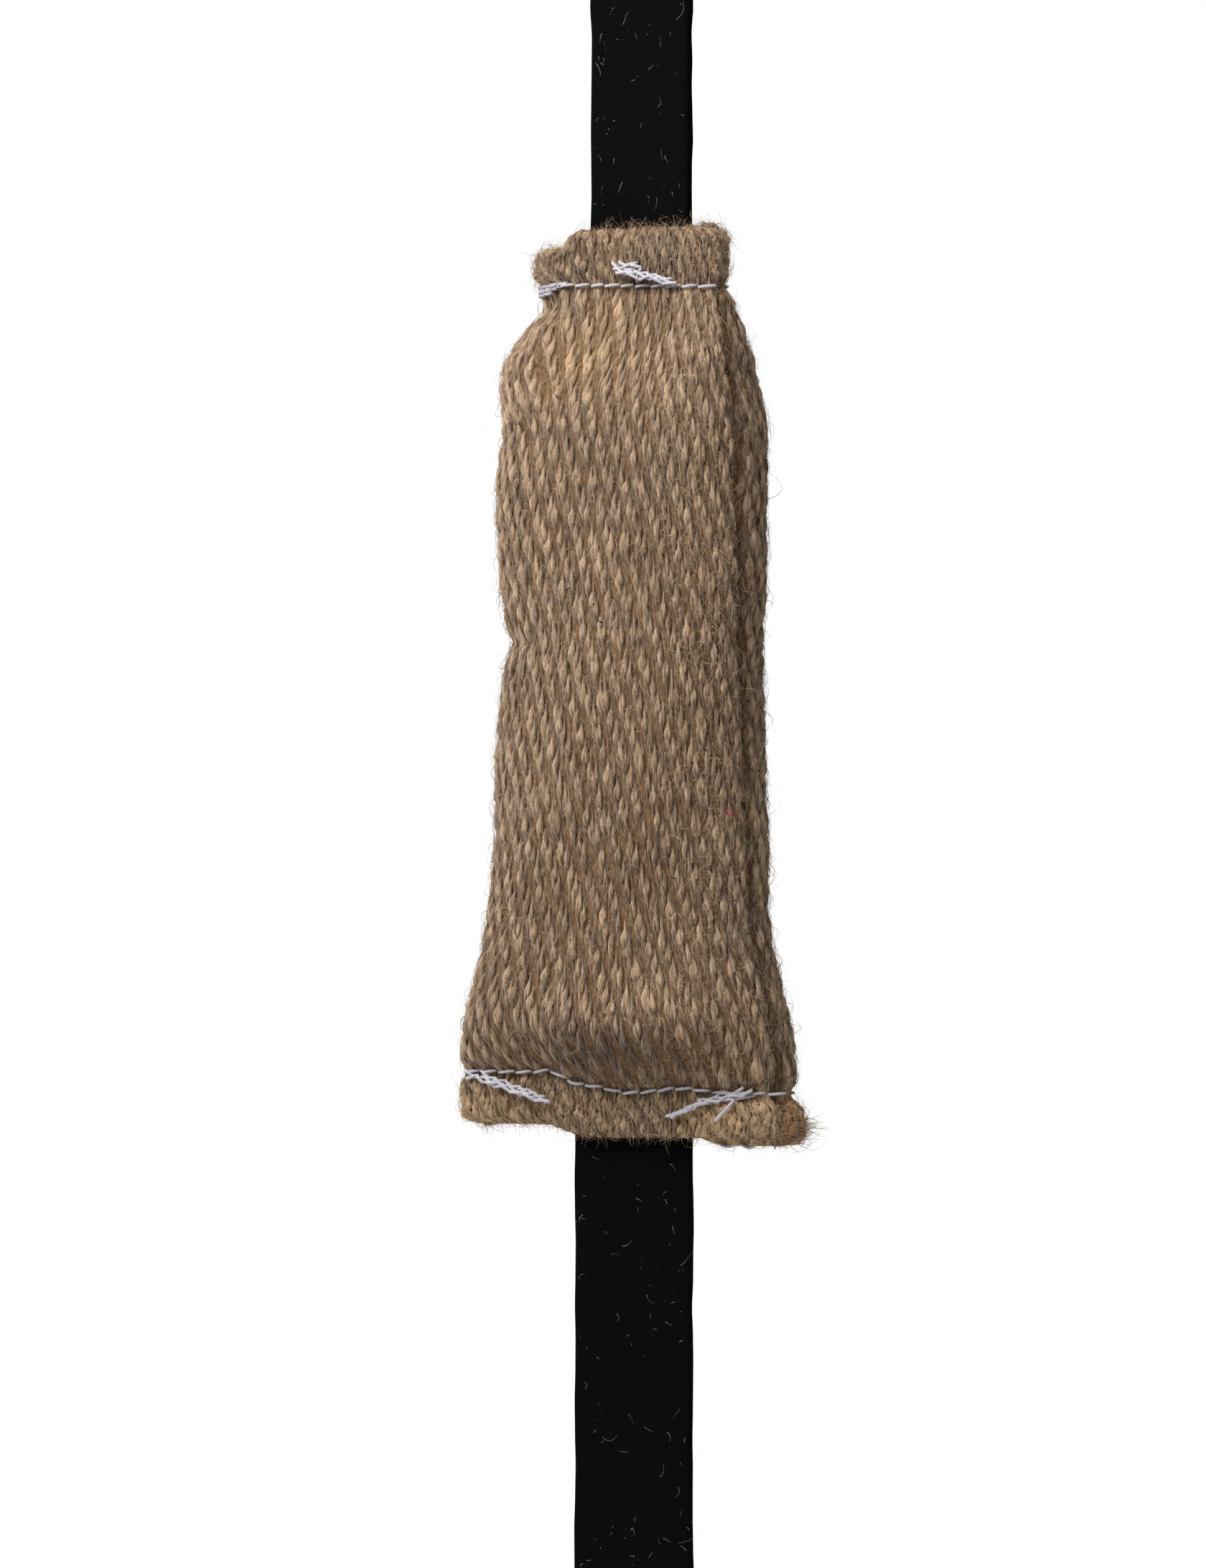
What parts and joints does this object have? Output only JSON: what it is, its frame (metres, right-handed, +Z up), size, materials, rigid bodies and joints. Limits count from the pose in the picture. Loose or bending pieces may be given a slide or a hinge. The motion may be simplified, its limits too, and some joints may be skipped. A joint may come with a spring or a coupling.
{
  "type": "ring bearer pillow",
  "caption": "Small stuffed jute pad, hemmed and sewn across at both ends, on a flat black strap that runs through it and ends in sewn loops.",
  "frame": {"origin": "the point inside the upper loop that the object hangs from, at the middle of the strap's width", "axes": "+Z up along the hanging strap, +X along the bottom hem to the right, -Y to the front of the pad"},
  "size_m": [0.071, 0.0453, 0.4328],
  "materials": {
    "jute_cloth": "coarse, heavy, two-ply jute weave with loose fibres, matt",
    "black_webbing": "close flat black webbing, matt, with lint on it",
    "white_thread": "thick twisted thread with a slight gloss",
    "black_thread": "thick twisted thread, dull",
    "wadding": "loose cotton wadding, matt"
  },
  "bodies": {
    "root": {"strap": "black_webbing", "jute_cover": "jute_cloth", "filling_front": "wadding", "filling_back": "wadding", "top_seam_thread": "white_thread", "top_seam_back_thread": "white_thread", "bottom_seam_thread": "white_thread", "bottom_seam_back_thread": "white_thread", "closing_seam_thread": "white_thread", "top_backtack": "white_thread", "bottom_left_backtack": "white_thread", "bottom_right_backtack": "white_thread", "loose_thread": "white_thread", "upper_loop_stitching": "black_thread", "upper_loop_back_stitching": "black_thread", "lower_loop_stitching": "black_thread", "lower_loop_back_stitching": "black_thread"}
  },
  "joints": []
}
